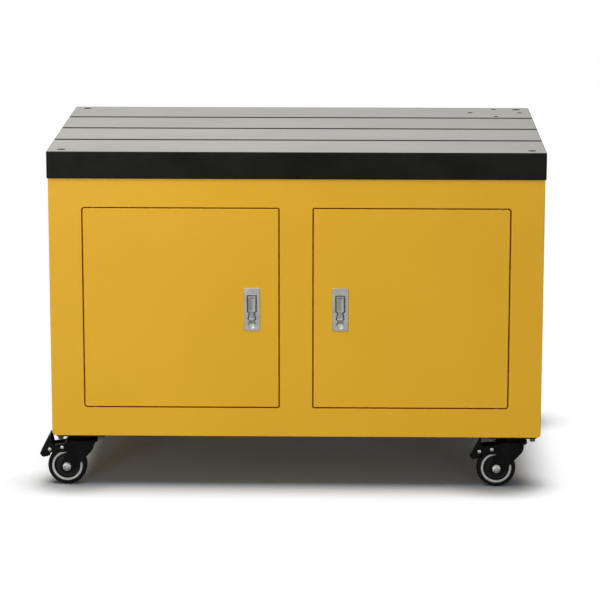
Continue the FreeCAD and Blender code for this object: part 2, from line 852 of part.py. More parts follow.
def fork():
    """The pressed fork: crown with the lower race, web, two tapering legs and the brake's ears."""
    crown = turned([
        (0, crown_foot), (crown_radius, crown_foot), (crown_radius, crown_top - crown_shoulder),
        (race_top_radius - crown_shoulder, crown_top), (0, crown_top),
    ])
    hub = (-trail, hub_z)
    head = (leg_head_x - trail, crown_foot - leg_head_drop)
    pivot = (pivot_x, pivot_z)
    root = (ear_root_x - trail, crown_foot - ear_root_radius)
    reach = crown_radius + trail + wheel_radius
    over = box((-reach, reach), (-reach, reach), (crown_foot, plate_foot))
    web_x = (-trail - fork_web_back, leg_head_radius)
    web = box(web_x, (-leg_outer, leg_outer), (fork_foot, crown_foot))
    pieces = [crown, web]
    for y in ((-leg_outer, -leg_inner), (leg_inner, leg_outer)):
        pieces.append(belt(hub, leg_end_radius, head, leg_head_radius, y).cut(over))
        pieces.append(belt(pivot, ear_radius, root, ear_root_radius, y))
    holes = [
        rod(kingpin_radius + running_clearance, (0, 0, fork_foot), Z, crown_top - fork_foot),
        rod(axle_radius, (-trail, -leg_outer, hub_z), Y, 2 * leg_outer),
        rod(pedal_pin_radius, (pivot_x, -leg_outer, pivot_z), Y, 2 * leg_outer),
    ]
    return joined(pieces).cut(holes)


def axle():
    """The wheel's axle bolt with a washer and a nut at each end."""
    reach = leg_outer + axle_washer_thick + axle_nut_height
    pieces = [rod(axle_radius, (-trail, -reach, hub_z), Y, 2 * reach)]
    for way in (-1, 1):
        start = (-trail, way * leg_outer, hub_z)
        pieces.append(rod(axle_washer_radius, start, Y * way, axle_washer_thick))
        nut_start = (-trail, way * (leg_outer + axle_washer_thick), hub_z)
        pieces.append(hexagon(axle_nut_across, nut_start, Y * way, axle_nut_height))
    return joined(pieces)


def on_axle(solid):
    """A wheel piece turned about Z, laid on the axle's line."""
    return solid.rotate(ORIGIN, X, 90).translate(FreeCAD.Vector(-trail, 0, hub_z))


def wheel_core():
    """The wheel's body: hub, thin web and a rim that stands out as a ring."""
    bore = axle_radius + running_clearance
    rim_outer = wheel_radius - tyre_depth
    rim_inner = rim_outer - rim_thick
    half_hub = hub_length / 2
    half_rim = tyre_width / 2 - rim_step
    half_web = web_thick / 2
    upper = [
        (bore, half_hub), (hub_radius, half_hub), (hub_radius, half_web), (rim_inner, half_web),
        (rim_inner, half_rim), (rim_outer, half_rim),
    ]
    lower = [(r, -h) for r, h in reversed(upper)]
    return on_axle(turned(upper + lower))


def tyre():
    """The rubber tyre with rounded shoulders."""
    inner = wheel_radius - tyre_depth
    half = tyre_width / 2
    corners = [(inner, half), (inner, -half), (wheel_radius, -half), (wheel_radius, half)]
    points = [FreeCAD.Vector(r, 0, h) for r, h in corners]
    outline = rounded_outline(points, [0, 0, tyre_shoulder, tyre_shoulder])
    return on_axle(Part.Face(outline).revolve(ORIGIN, Z, 360))


def pedal():
    """The brake pedal: two cheeks outside the ears, joined by a foot plate and a shoe bar."""
    cheek_inner = leg_outer + pedal_cheek_gap
    cheek_outer = cheek_inner + pedal_cheek_thick
    corners = [pedal_toe, pedal_toe_under, pedal_heel, pedal_back, pedal_top_back, pedal_top]
    outline = [(pivot_x + cx, pivot_z + cz) for cx, cz in corners]
    radii = [pedal_corner] * 4 + [pedal_top_corner] * 2
    whole = front_prism(outline, radii, (-cheek_outer, cheek_outer))
    toe = FreeCAD.Vector(*pedal_toe)
    top = FreeCAD.Vector(*pedal_top)
    slope = math.degrees(math.atan2(top.y - toe.y, top.x - toe.x))
    depth = whole.BoundBox.DiagonalLength
    room = box((-depth, depth), (-cheek_inner, cheek_inner), (-depth, -pedal_plate_thick))
    room = room.rotate(ORIGIN, Y, -slope)
    room = room.translate(FreeCAD.Vector(pivot_x + top.x, 0, pivot_z + top.y))
    bore = pedal_pin_radius + running_clearance
    whole = whole.cut([room, rod(bore, (pivot_x, -cheek_outer, pivot_z), Y, 2 * cheek_outer)])
    reach = wheel_radius + shoe_gap + shoe_radius
    shoe_x = reach * math.cos(math.radians(shoe_angle)) - trail
    shoe_z = reach * math.sin(math.radians(shoe_angle)) + hub_z
    return joined([whole, rod(shoe_radius, (shoe_x, -cheek_inner, shoe_z), Y, 2 * cheek_inner)])


def brake_pins():
    """The pedal's pivot pin with its rivet heads, and the short rivets beside it."""
    cheek = leg_outer + pedal_cheek_gap + pedal_cheek_thick + face_clearance
    pin = [rod(pedal_pin_radius, (pivot_x, -cheek, pivot_z), Y, 2 * cheek)]
    pieces = []
    for way in (-1, 1):
        pin.append(rod(rivet_radius, (pivot_x, way * cheek, pivot_z), Y * way, rivet_head))
        beside = (pivot_x + rivet_x, way * leg_outer, pivot_z + rivet_z)
        pieces.append(rod(rivet_radius, beside, Y * way, rivet_head))
    return Part.makeCompound([joined(pin)] + pieces)


def caster_bolts():
    """The casters' bolts, heads below the plates and nuts on the floor deck."""
    pieces = []
    for px, py in caster_bolt_places():
        head = hexagon(caster_bolt_across, (px, py, caster_under), -Z, caster_bolt_head)
        nut = hexagon(caster_bolt_across, (px, py, deck_top), Z, caster_nut_height)
        shank = rod(caster_bolt_radius, (px, py, caster_under), Z, caster_plate_thick + deck)
        pieces.append(joined([shank, head, nut]))
    return Part.makeCompound(pieces)


def placed(shape, px, py, heading):
    """A caster piece at its kingpin, turned to its heading."""
    return shape.copy().rotate(ORIGIN, Z, heading).translate(FreeCAD.Vector(px, py, 0))


def save(name, shape):
    """Writes one piece to its own file."""
    shape.exportStep(f"parts/{name}.step")


os.makedirs("parts", exist_ok=True)

save("t_slot_plate", t_slot_plate())
save("plate_screws", plate_screws())
save("front_frame", front_frame())
save("back_panel", back_panel())
save("side_panel_left", side_panel())
save("side_panel_right", mirrored(side_panel()))
save("bottom_panel", bottom_panel())
save("top_panel", top_panel())
save("corner_posts", corner_posts())
save("top_rails", top_rails())
save("shelf", shelf())
save("shelf_rails", shelf_rails())
save("hinge_pins", hinge_pins())
save("door_stops", door_stops())
save("door_buffers", door_buffers())
save("caster_bolts", caster_bolts())

DOOR_PIECES = [
    ("door_skin", door_skin()),
    ("door_stiffener", door_stiffener()),
    ("latch_housing", latch_housing()),
    ("latch_lever", latch_lever()),
    ("lever_pin", lever_pin()),
    ("latch_tongue", latch_tongue()),
]
for name, shape in DOOR_PIECES:
    save(f"left_{name}", shape)
    save(f"right_{name}", mirrored(shape))

CASTER_PIECES = [
    ("plate", caster_plate()),
    ("fork", fork()),
    ("axle", axle()),
    ("wheel_core", wheel_core()),
    ("tyre", tyre()),
    ("brake_pedal", pedal()),
    ("brake_pins", brake_pins()),
]
kingpins = []
for corner, px, py, heading in caster_middles():
    for name, shape in CASTER_PIECES:
        save(f"{corner}_{name}", placed(shape, px, py, heading))
    kingpins.append(placed(kingpin(), px, py, heading))
save("kingpins", Part.makeCompound(kingpins))
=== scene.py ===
import json
import math

import bmesh
import bpy
import numpy as np
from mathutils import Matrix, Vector


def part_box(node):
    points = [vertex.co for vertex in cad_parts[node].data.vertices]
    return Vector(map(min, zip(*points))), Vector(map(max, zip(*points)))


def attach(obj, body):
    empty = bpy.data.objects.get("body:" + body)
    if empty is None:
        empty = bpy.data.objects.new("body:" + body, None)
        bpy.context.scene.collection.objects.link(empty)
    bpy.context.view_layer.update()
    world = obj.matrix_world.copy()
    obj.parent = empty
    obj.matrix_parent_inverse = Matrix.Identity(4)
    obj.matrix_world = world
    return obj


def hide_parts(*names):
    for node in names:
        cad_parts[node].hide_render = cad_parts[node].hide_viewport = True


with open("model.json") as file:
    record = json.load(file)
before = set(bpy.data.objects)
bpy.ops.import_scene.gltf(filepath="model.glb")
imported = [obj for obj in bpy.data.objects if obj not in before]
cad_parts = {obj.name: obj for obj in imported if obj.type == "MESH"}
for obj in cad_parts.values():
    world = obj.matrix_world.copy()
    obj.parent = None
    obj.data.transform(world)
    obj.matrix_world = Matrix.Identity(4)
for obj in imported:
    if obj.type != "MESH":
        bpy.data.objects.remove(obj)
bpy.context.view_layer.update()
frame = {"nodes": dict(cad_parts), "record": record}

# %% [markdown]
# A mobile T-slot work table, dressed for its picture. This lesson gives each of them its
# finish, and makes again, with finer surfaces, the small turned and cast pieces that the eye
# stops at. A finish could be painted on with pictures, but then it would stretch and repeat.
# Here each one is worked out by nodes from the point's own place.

NODES = frame["nodes"]
CORNERS = ("front_left", "front_right", "rear_left", "rear_right")
SIDES = ("left", "right")


# %% [markdown]
# The frame knows where everything is, so no place is typed in twice. A node's box gives the
# plate's top, the cabinet's front and each wheel's middle.

# %% Read the main places from the frame
PLATE_LOW, PLATE_HIGH = (np.array(corner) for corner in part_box("t_slot_plate"))
FRAME_LOW, FRAME_HIGH = (np.array(corner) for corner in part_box("front_frame"))
PLATE_TOP = float(PLATE_HIGH[2])
CABINET_FRONT = float(FRAME_LOW[1])
SLOT_PITCH = float(PLATE_HIGH[1] - PLATE_LOW[1]) / 4
print("plate top", round(PLATE_TOP, 4), "cabinet front", round(CABINET_FRONT, 4))


# %% [markdown]
# A finish is a small tree of nodes. Writing each tree with the same two helpers keeps it
# readable: one starts a material and sets the numbers that are the same all over straight on
# the shader, and the other adds a node and wires its inputs in one line.

# %% Helpers for materials
def start_material(name, **sockets):
    """A new material and its shader, with plain values set on the shader's own sockets."""
    made = bpy.data.materials.new(name)
    made.use_nodes = True
    shader = made.node_tree.nodes["Principled BSDF"]
    for socket, value in sockets.items():
        shader.inputs[socket.replace("_", " ")].default_value = value
    return made, shader


def add(made, kind, settings=None, **inputs):
    """Adds one node, and sets or links its inputs, which are named or numbered (in0, in1)."""
    new = made.node_tree.nodes.new(kind)
    for key, value in (settings or {}).items():
        setattr(new, key, value)
    for key, value in inputs.items():
        index = int(key[2:]) if key[:2] == "in" and key[2:].isdigit() else key.replace("_", " ")
        socket = new.inputs[index]
        if isinstance(value, bpy.types.NodeSocket):
            made.node_tree.links.new(value, socket)
        else:
            socket.default_value = value
    return new


def link(made, source, shader, socket):
    """Wires a node's output into one socket of the shader."""
    made.node_tree.links.new(source, shader.inputs[socket])


def place(made):
    """The point's own place on the object, in metres."""
    return add(made, "ShaderNodeTexCoord").outputs["Object"]


def noise(made, where, scale, detail=3.0, stretch=(1.0, 1.0, 1.0), roughness=0.55):
    """Even noise, from 0 to 1, at a scale in turns a metre, stretched by axis."""
    mapped = add(made, "ShaderNodeMapping", Vector=where, Scale=stretch)
    cloud = add(made, "ShaderNodeTexNoise", Vector=mapped.outputs[0], Scale=scale,
                Detail=detail, Roughness=roughness)
    return cloud.outputs["Fac"]


def spread(made, value, low, high):
    """Takes the middle stretch of a noise to the range from low to high."""
    return add(made, "ShaderNodeMapRange", Value=value, From_Min=0.3, From_Max=0.7,
               To_Min=low, To_Max=high).outputs[0]


def tint(made, factor, dark, light):
    """A colour between two, by a factor."""
    mixed = add(made, "ShaderNodeMix", {"data_type": "RGBA"}, in0=factor)
    mixed.inputs[6].default_value = (*dark, 1.0)
    mixed.inputs[7].default_value = (*light, 1.0)
    return mixed.outputs[2]


def relief(made, height, strength, depth, edge):
    """Bump of a depth in metres, over edges that the shader rounds by a small radius."""
    rounded = add(made, "ShaderNodeBevel", {"samples": 4}, Radius=edge)
    bump = add(made, "ShaderNodeBump", Strength=strength, Distance=depth,
               Height=height, Normal=rounded.outputs[0])
    return bump.outputs[0]


# %% [markdown]
# The cabinet is powder coated: dry paint that melts in an oven into a tough satin skin. Close
# by it has orange peel, a shallow ripple a few millimetres across, and from further off its
# colour drifts a little. Both are noises of very different scale on the same point. In the
# narrow gaps round the doors the frame's edges are painted dark red-brown, as painted shade
# in the gaps.

# %% Powder coat
YELLOW_DEEP = (0.670, 0.362, 0.013)
YELLOW_LIGHT = (0.745, 0.413, 0.019)
# Painted shade: the dark red-brown that stands in for the shade in the door gaps.
GAP_SHADE_COLOUR = (0.420, 0.078, 0.001)
GAP_INNER = 0.0010
GAP_OUTER = 0.0050
GAP_START = 0.0002
GAP_END = 0.0300
DOOR_LOW, DOOR_HIGH = (np.array(corner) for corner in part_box("right_door_skin"))


def compare(made, operation, a, b):
    """One math node between two values."""
    return add(made, "ShaderNodeMath", {"operation": operation}, in0=a, in1=b).outputs[0]


def gap_shade_mask(made, where):
    """1 on the frame's edges in the gaps round the doors, where shade is painted, else 0.

    How far a point lies outside a door's outline is the larger of ||x| - middle| - half width
    and |z - middle| - half height.
    """
    middle = (DOOR_LOW + DOOR_HIGH) / 2
    half = (DOOR_HIGH - DOOR_LOW) / 2
    split = add(made, "ShaderNodeSeparateXYZ", Vector=where)
    x, y, z = split.outputs[:3]
    aside = compare(made, "SUBTRACT", compare(made, "ABSOLUTE", x, 0.0), middle[0])
    aside = compare(made, "SUBTRACT", compare(made, "ABSOLUTE", aside, 0.0), half[0])
    above = compare(made, "ABSOLUTE", compare(made, "SUBTRACT", z, middle[2]), 0.0)
    outside = compare(made, "MAXIMUM", aside, compare(made, "SUBTRACT", above, half[2]))
    ring = compare(made, "MULTIPLY", compare(made, "GREATER_THAN", outside, GAP_INNER),
                   compare(made, "LESS_THAN", outside, GAP_OUTER))
    behind = compare(made, "SUBTRACT", y, CABINET_FRONT)
    deep = compare(made, "MULTIPLY", compare(made, "GREATER_THAN", behind, GAP_START),
                   compare(made, "LESS_THAN", behind, GAP_END))
    return compare(made, "MULTIPLY", ring, deep)


def powder_coat():
    """Colour drifts by a slow noise; ripple and grain come from two fast ones."""
    made, shader = start_material("powder_coat_yellow", Specular_IOR_Level=0.22)
    where = place(made)
    drift = spread(made, noise(made, where, 2.2, 2.0), 0.25, 0.75)
    # Over the yellow, the door gaps get their painted shade.
    coat = add(made, "ShaderNodeMix", {"data_type": "RGBA"}, in0=gap_shade_mask(made, where),
               in6=tint(made, drift, YELLOW_DEEP, YELLOW_LIGHT))
    coat.inputs[7].default_value = (*GAP_SHADE_COLOUR, 1.0)
    link(made, coat.outputs[2], shader, "Base Color")
    link(made, spread(made, noise(made, where, 9.0), 0.395, 0.43), shader, "Roughness")
    ripple = noise(made, where, 260.0, 2.0)
    link(made, relief(made, ripple, 0.22, 0.0004, 0.0007), shader, "Normal")
    return made


# %% [markdown]
# The plate is one iron casting with two finishes. Its top was planed, and the tool left fine
# lines along the length; its sides were filled and painted black. Two materials would need the
# casting cut in two, so one material reads the height and the distance to the nearest slot
# line, and mixes bare iron and paint by them.

# %% Planed iron and black paint
IRON_DARK = (0.208, 0.200, 0.180)
IRON_LIGHT = (0.334, 0.322, 0.290)
SLOT_DARK = (0.010, 0.010, 0.009)
PAINT_DARK = (0.003, 0.003, 0.0022)
PAINT_LIGHT = (0.008, 0.008, 0.0062)
SKIN = 0.00015
SLOT_REACH = 0.0135
# Painted shade: a dark band on the planed top, this far from each slot's middle, along its mouth.
SLOT_SHADE_EDGE = 0.0092
SLOT_DEPTH = 0.0265


def bare_masks(made, where):
    """Two masks: the planed top skin of bare iron, and the T-slots' dark walls with a band of
    painted shade along their mouths.
    """
    split = add(made, "ShaderNodeSeparateXYZ", Vector=where)
    y, z = split.outputs[1], split.outputs[2]
    nearest = compare(made, "PINGPONG", y, SLOT_PITCH / 2)
    in_slot = compare(made, "LESS_THAN", nearest, SLOT_REACH)
    inside = compare(made, "LESS_THAN", compare(made, "ABSOLUTE", y, 0.0), 1.5 * SLOT_PITCH)
    # The band along each slot's mouth is painted shade, taken off the bare top.
    edge = compare(made, "MULTIPLY", compare(made, "LESS_THAN", nearest, SLOT_SHADE_EDGE), inside)
    top = compare(made, "GREATER_THAN", z, PLATE_TOP - SKIN)
    top = compare(made, "MULTIPLY", top, compare(made, "SUBTRACT", 1.0, edge))
    high = compare(made, "GREATER_THAN", z, PLATE_TOP - SLOT_DEPTH)
    slot = compare(made, "MULTIPLY", compare(made, "MULTIPLY", in_slot, inside), high)
    return top, compare(made, "MULTIPLY", slot, compare(made, "SUBTRACT", 1.0, top))


def casting():
    """Bare planed iron on top, dark iron in the slots, painted shade along their mouths, satin
    black paint elsewhere.
    """
    made, shader = start_material("cast_iron_plate", Specular_IOR_Level=0.08)
    where = place(made)
    mask, slot = bare_masks(made, where)
    lines = noise(made, where, 1.0, 4.0, (3.0, 900.0, 900.0))
    patches = noise(made, where, 7.0, 3.0, (0.4, 1.0, 1.0))
    grain = compare(made, "ADD", compare(made, "MULTIPLY", lines, 0.6),
                    compare(made, "MULTIPLY", patches, 0.4))
    iron = tint(made, spread(made, grain, 0.1, 0.9), IRON_DARK, IRON_LIGHT)
    sand = noise(made, where, 420.0, 4.0)
    paint = tint(made, spread(made, noise(made, where, 14.0), 0.0, 1.0), PAINT_DARK, PAINT_LIGHT)
    slot_walls_and_shade = add(made, "ShaderNodeMix", {"data_type": "RGBA"}, in0=slot, in6=paint)
    slot_walls_and_shade.inputs[7].default_value = (*SLOT_DARK, 1.0)
    colour = add(made, "ShaderNodeMix", {"data_type": "RGBA"}, in0=mask, in6=slot_walls_and_shade.outputs[2],
                 in7=iron)
    link(made, colour.outputs[2], shader, "Base Color")
    link(made, compare(made, "MULTIPLY", mask, 0.6), shader, "Metallic")
    rough = add(made, "ShaderNodeMix", in0=mask, in2=spread(made, sand, 0.34, 0.46),
                in3=spread(made, grain, 0.36, 0.50))
    link(made, rough.outputs[0], shader, "Roughness")
    height = add(made, "ShaderNodeMix", in0=mask, in2=sand, in3=lines)
    link(made, relief(made, height.outputs[0], 0.25, 0.0003, 0.001), shader, "Normal")
    return made


# %% [markdown]
# Metals differ less in colour than in how their shine is broken up. Die-cast zinc is satin and
# lightly brushed, zinc plate is brighter and cloudy, and blackened steel is nearly smooth. Zinc
# plate that sits in shade is made darker, as painted shade. One function makes them all from a
# colour, a roughness range and the direction of the marks.

# %% Metals
def metal(name, dark, light, rough, marks, edge=0.0004, depth=0.0001):
    """A metal whose colour, roughness and relief follow one noise, stretched by its marks."""
    made, shader = start_material(name, Metallic=0.92)
    where = place(made)
    scratch = noise(made, where, 1.0, 4.0, marks)
    cloud = noise(made, where, 60.0, 3.0)
    both = compare(made, "ADD", compare(made, "MULTIPLY", scratch, 0.6),
                   compare(made, "MULTIPLY", cloud, 0.4))
    link(made, tint(made, spread(made, both, 0.0, 1.0), dark, light), shader, "Base Color")
    link(made, spread(made, both, rough[0], rough[1]), shader, "Roughness")
    link(made, relief(made, scratch, 0.3, depth, edge), shader, "Normal")
    return made


# %% [markdown]
# Painted and moulded black parts have no brightness of their own, so all that shows is their
# gloss. A fine relief keeps the gloss from looking like plastic film: sharp and shallow on
# dipped steel, softer and deeper on rubber.

# %% Black steel, rubber and plastic
def dull(name, dark, light, rough, scale, depth, edge, level=0.5):
    """A non-metal with a fine relief at a scale in turns a metre."""
    made, shader = start_material(name, Specular_IOR_Level=level)
    where = place(made)
    fine = noise(made, where, scale, 3.0)
    broad = noise(made, where, 25.0, 3.0)
    link(made, tint(made, spread(made, broad, 0.0, 1.0), dark, light), shader, "Base Color")
    link(made, spread(made, broad, rough[0], rough[1]), shader, "Roughness")
    link(made, relief(made, fine, 0.3, depth, edge), shader, "Normal")
    return made


# %% [markdown]
# The wheel's body is coloured light grey on the rim's face and black on the web behind it.
# The point's place doesn't say how far it is from its own axle, so the mesh keeps that distance
# in its UV map, and the material changes tone where it passes the rim.

# %% Wheel core, grey rim and black web
WEB_EDGE = 0.0316
RING_EDGE = 0.0322


def grey_rim_black_web_core():
    """Light grey beyond the rim's inner edge, black within it, by the radius in the UV map."""
    made, shader = start_material("moulded_core", Specular_IOR_Level=0.15)
    kept = add(made, "ShaderNodeTexCoord").outputs["UV"]
    radius = add(made, "ShaderNodeSeparateXYZ", Vector=kept)
    ring = add(made, "ShaderNodeMapRange", Value=radius.outputs[1], From_Min=WEB_EDGE,
               From_Max=RING_EDGE)
    where = place(made)
    broad = spread(made, noise(made, where, 60.0), 0.0, 1.0)
    grey = tint(made, broad, (0.40, 0.40, 0.385), (0.50, 0.50, 0.48))
    black = tint(made, broad, (0.006, 0.006, 0.006), (0.011, 0.011, 0.011))
    tone = add(made, "ShaderNodeMix", {"data_type": "RGBA"}, in0=ring.outputs[0], in6=black,
               in7=grey)
    link(made, tone.outputs[2], shader, "Base Color")
    link(made, spread(made, noise(made, where, 25.0), 0.36, 0.48), shader, "Roughness")
    link(made, relief(made, noise(made, where, 700.0), 0.3, 0.0001, 0.0005), shader, "Normal")
    return made


# %% Make the finishes
FINISH = {
    "yellow_paint": powder_coat(),
    "cast_iron": casting(),
    "latch_metal": metal("die_cast_zinc", (0.25, 0.25, 0.235), (0.42, 0.42, 0.395),
                         (0.42, 0.54), (1500.0, 1500.0, 30.0)),
    "darker_lever_zinc": metal("darker_die_cast_zinc", (0.18, 0.18, 0.165), (0.30, 0.30, 0.275),
                          (0.42, 0.54), (1500.0, 1500.0, 30.0)),
    "zinc_steel": metal("bright_zinc_plate", (0.28, 0.28, 0.27), (0.44, 0.44, 0.42),
                        (0.38, 0.52), (300.0, 300.0, 300.0)),
    "shade_darkened_zinc": metal("zinc_plate_painted_shade", (0.06, 0.06, 0.055), (0.13, 0.13, 0.12),
                          (0.45, 0.60), (300.0, 300.0, 300.0)),
    "dark_screws": metal("blackened_steel", (0.020, 0.020, 0.020), (0.060, 0.058, 0.055),
                         (0.30, 0.45), (500.0, 500.0, 500.0)),
    "black_steel": dull("dipped_black_steel", (0.003, 0.003, 0.003), (0.006, 0.006, 0.006),
                        (0.20, 0.28), 500.0, 0.0001, 0.0007, 0.09),
    "tyre_rubber": dull("tyre_rubber", (0.003, 0.003, 0.003), (0.006, 0.006, 0.006),
                        (0.50, 0.62), 900.0, 0.0001, 0.0008, 0.08),
    "wheel_core": grey_rim_black_web_core(),
    "rubber": dull("buffer_rubber", (0.014, 0.014, 0.014), (0.024, 0.024, 0.024),
                   (0.55, 0.68), 900.0, 0.0001, 0.0005, 0.2),
}
print("finishes:", ", ".join(sorted(FINISH)))


# %% Put each finish on the frame's own nodes
LOOK_OF = {row["node"]: row["material_slot"] for row in frame["record"]["subparts"]}
# The hinge pins sit in the dark door gaps, so their zinc is darkened as painted shade.
LOOK_OF["hinge_pins"] = "shade_darkened_zinc"
for name, piece in NODES.items():
    piece.data.materials.clear()
    piece.data.materials.append(FINISH[LOOK_OF[name]])
print("dressed", len(NODES), "nodes")


# %% [markdown]
# The stage is plain: a pale floor that takes the shadow, two large soft lights above and two
# low ones in front, the left one stronger. Under the table the floor is an ordinary matt
# surface, a little blue, because the cabinet throws yellow light down on it. From just inside
# the table's outline outwards it turns, for the camera alone, into even white, so the picture's
# ground has no horizon and keeps only the table's own shadow. How far a point lies outside
# follows from its place alone.

# %% Floor and world
FLOOR_HALF = 40.0
FADE_INSET = (0.091, 0.069)
FADE_BESIDE = 0.173
FADE_BEFORE = 0.171
CONTACT_REACH = 0.12
CONTACT_DARK = 0.7
FLOOR_UNDER = (0.43, 0.495, 0.60)
FLOOR_BESIDE = (0.43, 0.43, 0.43)
TONE_RATE = 5.0


def floor_material():
    """Matt and pale near the table, even white further off for what is seen directly.

    What lies outside the fade's start is (|x|, |y|) less its half sizes, with what is
    negative set to nothing. Its length, counted in widths of the fade, gives the share.
    Close to a wheel the sky is hidden, and there the floor keeps its own dark.
    """
    made, shader = start_material("studio_floor", Roughness=0.9, Specular_IOR_Level=0.0)
    half = (float(FRAME_HIGH[0]) - FADE_INSET[0], -float(FRAME_LOW[1]) - FADE_INSET[1], 0.0)
    size = add(made, "ShaderNodeVectorMath", {"operation": "ABSOLUTE"}, in0=place(made))
    beyond = add(made, "ShaderNodeVectorMath", {"operation": "SUBTRACT"}, in0=size.outputs[0],
                 in1=half)
    outside = add(made, "ShaderNodeVectorMath", {"operation": "MAXIMUM"}, in0=beyond.outputs[0])
    widths = add(made, "ShaderNodeVectorMath", {"operation": "DIVIDE"}, in0=outside.outputs[0],
                 in1=(FADE_BESIDE, FADE_BEFORE, 1.0))
    distance = add(made, "ShaderNodeVectorMath", {"operation": "LENGTH"}, in0=widths.outputs[0])
    far = add(made, "ShaderNodeMapRange", {"interpolation_type": "SMOOTHSTEP"},
              Value=distance.outputs["Value"])
    tone = compare(made, "MULTIPLY", far.outputs[0], TONE_RATE)
    link(made, tint(made, tone, FLOOR_UNDER, FLOOR_BESIDE), shader, "Base Color")
    glow = add(made, "ShaderNodeEmission", Color=(1.0, 1.0, 1.0, 1.0), Strength=1.0)
    seen = add(made, "ShaderNodeLightPath").outputs["Is Camera Ray"]
    hidden = add(made, "ShaderNodeAmbientOcclusion", {"samples": 8}, Distance=CONTACT_REACH)
    clear = add(made, "ShaderNodeMapRange", Value=hidden.outputs["AO"], From_Min=CONTACT_DARK,
                From_Max=1.0).outputs[0]
    share = compare(made, "MULTIPLY", compare(made, "MULTIPLY", far.outputs[0], clear), seen)
    mixed = add(made, "ShaderNodeMixShader", in0=share, in1=shader.outputs[0], in2=glow.outputs[0])
    out = made.node_tree.nodes["Material Output"]
    made.node_tree.links.new(mixed.outputs[0], out.inputs["Surface"])
    return made


def make_floor():
    """A square of floor round the table."""
    side = FLOOR_HALF
    mesh = bpy.data.meshes.new("floor")
    mesh.from_pydata([(-side, -side, 0), (side, -side, 0), (side, side, 0), (-side, side, 0)],
                     [], [(0, 1, 2, 3)])
    floor = bpy.data.objects.new("floor", mesh)
    floor.data.materials.append(floor_material())
    bpy.context.scene.collection.objects.link(floor)


def make_world(fill):
    """White where it is seen, and a soft even fill as light."""
    world = bpy.data.worlds.new("studio")
    world.use_nodes = True
    bpy.context.scene.world = world
    rays = add(world, "ShaderNodeLightPath")
    seen = compare(world, "MAXIMUM", rays.outputs["Is Camera Ray"], rays.outputs["Is Glossy Ray"])
    level = add(world, "ShaderNodeMix", in0=seen, in2=fill, in3=1.0)
    sky = world.node_tree.nodes["Background"]
    sky.inputs["Color"].default_value = (1.0, 1.0, 1.0, 1.0)
    world.node_tree.links.new(level.outputs[0], sky.inputs["Strength"])


FILL = 0.17
make_floor()
make_world(FILL)


# %% Lamps
AIM = np.array([0.0, 0.0, 0.45])


def soft_light(name, spot, size, power):
    """A large square lamp that faces the table."""
    data = bpy.data.lights.new(name, "AREA")
    data.shape = "RECTANGLE"
    data.size, data.size_y = size
    data.energy = power
    lamp = bpy.data.objects.new(name, data)
    lamp.location = spot
    lamp.rotation_euler = Vector(AIM - np.array(spot)).to_track_quat("-Z", "Y").to_euler()
    bpy.context.scene.collection.objects.link(lamp)
    print(name, "at", spot, "with", power, "W")


soft_light("overhead", (-0.3, 0.6, 3.0), (2.0, 0.8), 34.0)
soft_light("above_the_doors", (-1.1, -1.05, 2.8), (1.8, 0.6), 63.0)
soft_light("front_left_key", (-2.2, -4.6, 0.6), (1.6, 1.0), 77.0)
soft_light("front_right_fill", (2.2, -4.8, 0.6), (1.6, 1.0), 39.0)


# %% [markdown]
# The camera stands where the photographer stood. Straight edges of the plate and the cabinet
# were fitted to a pinhole camera, which gives its height, a distance of about seven metres,
# a look of twelve degrees downwards and hardly one degree to the left, and a long lens.

# %% Camera
PICTURE = 600
SENSOR = 36.0
FOCAL_PIXELS = 2794.0
CAMERA_SPOT = (0.135, -6.978, 1.909)
LOOK_DOWN = 12.22
LOOK_LEFT = 1.095
ROLL = 0.03

camera_data = bpy.data.cameras.new("camera")
camera_data.sensor_width = SENSOR
camera_data.lens = SENSOR * FOCAL_PIXELS / PICTURE
camera = bpy.data.objects.new("camera", camera_data)
camera.location = CAMERA_SPOT
camera.rotation_euler = [math.radians(turn) for turn in (90.0 - LOOK_DOWN, -ROLL, LOOK_LEFT)]
bpy.context.scene.collection.objects.link(camera)
bpy.context.scene.camera = camera
bpy.context.scene.view_settings.view_transform = "Standard"
print("lens", round(camera_data.lens, 1), "mm")


# %% [markdown]
# The small turned pieces carry the eye: a nut has its chamfers, a screw its knurls, a wheel
# its rounded rim. Each could be cut out of a block with modifiers, but a turned piece is
# really one formula: a radius at each height, swept round an axis. So a profile is drawn with
# rounded corners, a whole grid of points follows from it at once, and the grid is welded into
# a closed skin. Where a piece isn't round, such as a hexagon, only its radius at each angle
# changes.

# %% Helpers for surfaces
MM = 0.001


def rounded_profile(corners, radii, steps=5):
    """A closed line of straight runs, whose corners turn along arcs of their own radii.

    At a corner, the arc's middle lies on the bisector at radius / sin(half angle), and the
    arc is swept between the two directions that are square to the runs.
    """
    corner = np.array(corners, float)
    radius = np.array(radii, float)[:, None]
    before = np.roll(corner, 1, axis=0) - corner
    after = np.roll(corner, -1, axis=0) - corner
    before /= np.linalg.norm(before, axis=1, keepdims=True)
    after /= np.linalg.norm(after, axis=1, keepdims=True)
    half = np.arccos(np.clip((before * after).sum(1), -1, 1))[:, None] / 2
    bisector = before + after
    bisector /= np.linalg.norm(bisector, axis=1, keepdims=True)
    middle = corner + bisector * radius / np.sin(half)
    start = corner + before * radius / np.tan(half) - middle
    end = corner + after * radius / np.tan(half) - middle
    turn = np.pi - 2 * half
    share = np.linspace(0, 1, steps)[None, :, None]
    first = np.sin((1 - share) * turn[:, None]) / np.sin(turn[:, None])
    second = np.sin(share * turn[:, None]) / np.sin(turn[:, None])
    return (middle[:, None] + first * start[:, None] + second * end[:, None]).reshape(-1, 2)


